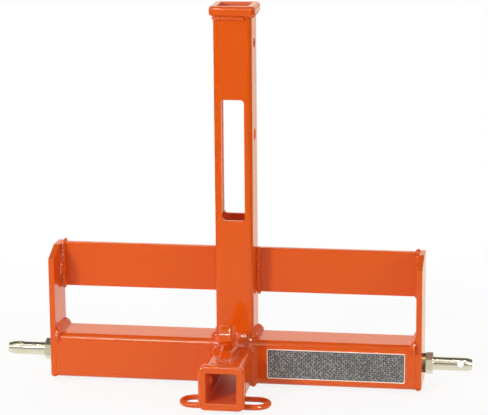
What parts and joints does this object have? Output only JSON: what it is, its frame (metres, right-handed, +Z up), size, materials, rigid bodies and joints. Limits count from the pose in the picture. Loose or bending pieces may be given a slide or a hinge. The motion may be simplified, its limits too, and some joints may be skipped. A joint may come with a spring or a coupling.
{
  "type": "three point receiver hitch",
  "caption": "Welded steel frame for a tractor's three point linkage: cross tube with link pins, slotted upright mast, square hitch receivers, flat bracing bars, chain loop and chain hook.",
  "frame": {"origin": "middle of the line through both lower link pins, which is also the middle of the cross tube", "axes": "+X along the cross tube towards the right lower link pin as seen from the receiver's mouth, -Y out of the lower receiver's mouth, +Z up along the mast"},
  "size_m": [0.7916, 0.2191, 0.6445],
  "materials": {
    "orange_coat": "glossy powder coat",
    "zinc_steel": "zinc plated",
    "dark_steel": "plain, slightly oiled"
  },
  "bodies": {
    "root": {"cross_tube": "orange_coat", "mast_tube": "orange_coat", "receiver_tube": "orange_coat", "mast_collar": "orange_coat", "receiver_collar": "orange_coat", "end_plate_left": "orange_coat", "end_plate_right": "orange_coat", "upper_bar_left": "orange_coat", "upper_bar_right": "orange_coat", "chain_loop": "orange_coat", "chain_hook": "orange_coat", "mast_base_weld": "orange_coat", "receiver_front_weld": "orange_coat", "receiver_rear_weld": "orange_coat", "receiver_seam_weld": "orange_coat", "mast_collar_weld": "orange_coat", "receiver_collar_weld": "orange_coat", "end_plate_weld_left": "orange_coat", "end_plate_weld_right": "orange_coat", "upper_bar_weld_left": "orange_coat", "upper_bar_weld_right": "orange_coat", "chain_loop_weld": "orange_coat", "chain_hook_weld": "orange_coat", "lower_link_pin_left": "zinc_steel", "lower_link_pin_right": "zinc_steel", "weld_nut_left": "zinc_steel", "weld_nut_right": "zinc_steel", "lock_washer_left": "dark_steel", "lock_washer_right": "dark_steel"}
  },
  "joints": []
}
